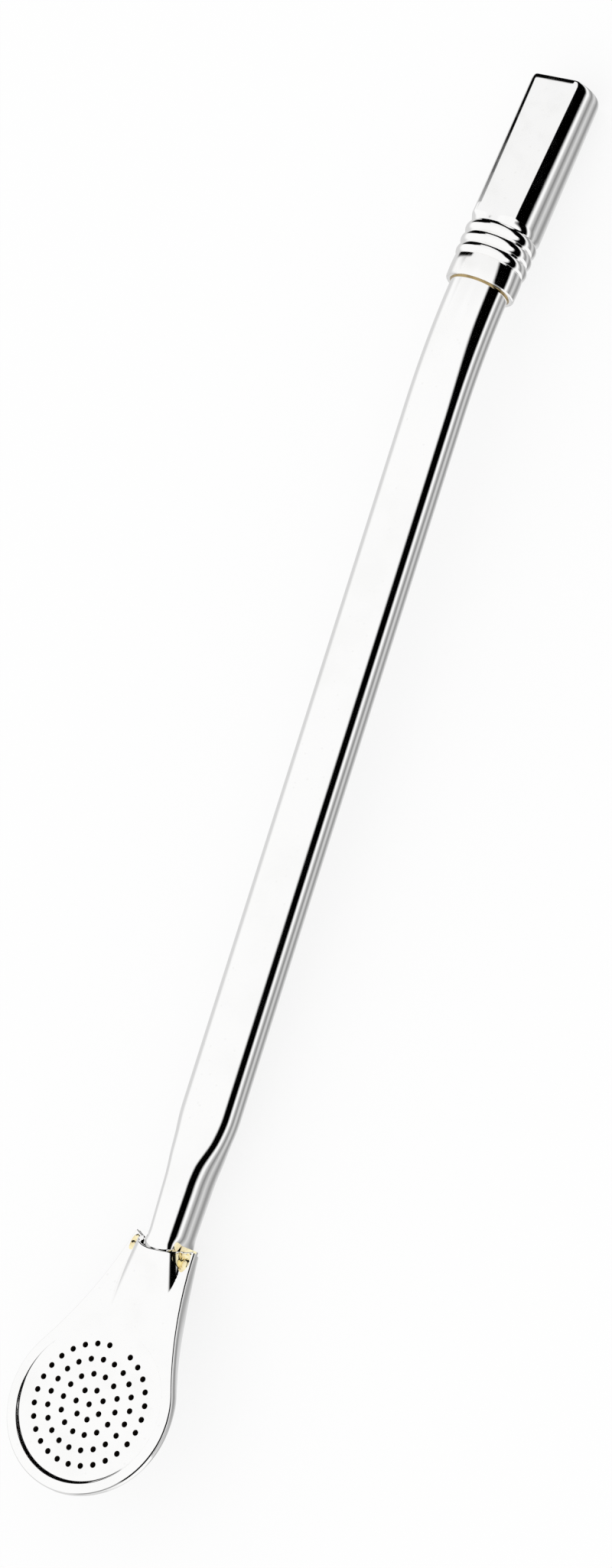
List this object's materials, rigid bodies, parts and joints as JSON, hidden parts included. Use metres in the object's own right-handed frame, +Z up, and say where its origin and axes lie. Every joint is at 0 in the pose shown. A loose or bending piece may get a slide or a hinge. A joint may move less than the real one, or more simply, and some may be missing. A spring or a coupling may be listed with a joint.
{
  "type": "bombilla",
  "caption": "Metal mate straw: slim bent tube with a flattened mouthpiece, bead rings and collar at one end and a perforated spoon strainer at the other.",
  "frame": {"origin": "middle of the footprint, on the surface that it lies on", "axes": "+Y from the strainer to the mouthpiece, +Z up, out of the strainer's perforated front, +X across"},
  "size_m": [0.0236, 0.1957, 0.0148],
  "materials": {
    "stem_metal": "polished nickel-plated tube",
    "mouthpiece_metal": "polished nickel-plated sheet",
    "ring_metal": "polished nickel-plated bead rings",
    "strainer_metal": "polished nickel-plated pressed sheet",
    "braze": "bare golden braze"
  },
  "bodies": {
    "root": {"stem_tube": "stem_metal", "mouthpiece": "mouthpiece_metal", "collar": "ring_metal", "ring_lower": "ring_metal", "ring_middle": "ring_metal", "ring_upper": "ring_metal", "collar_braze": "braze", "strainer_front": "strainer_metal", "strainer_back": "strainer_metal", "neck_braze_left": "braze", "neck_braze_right": "braze"}
  },
  "joints": []
}
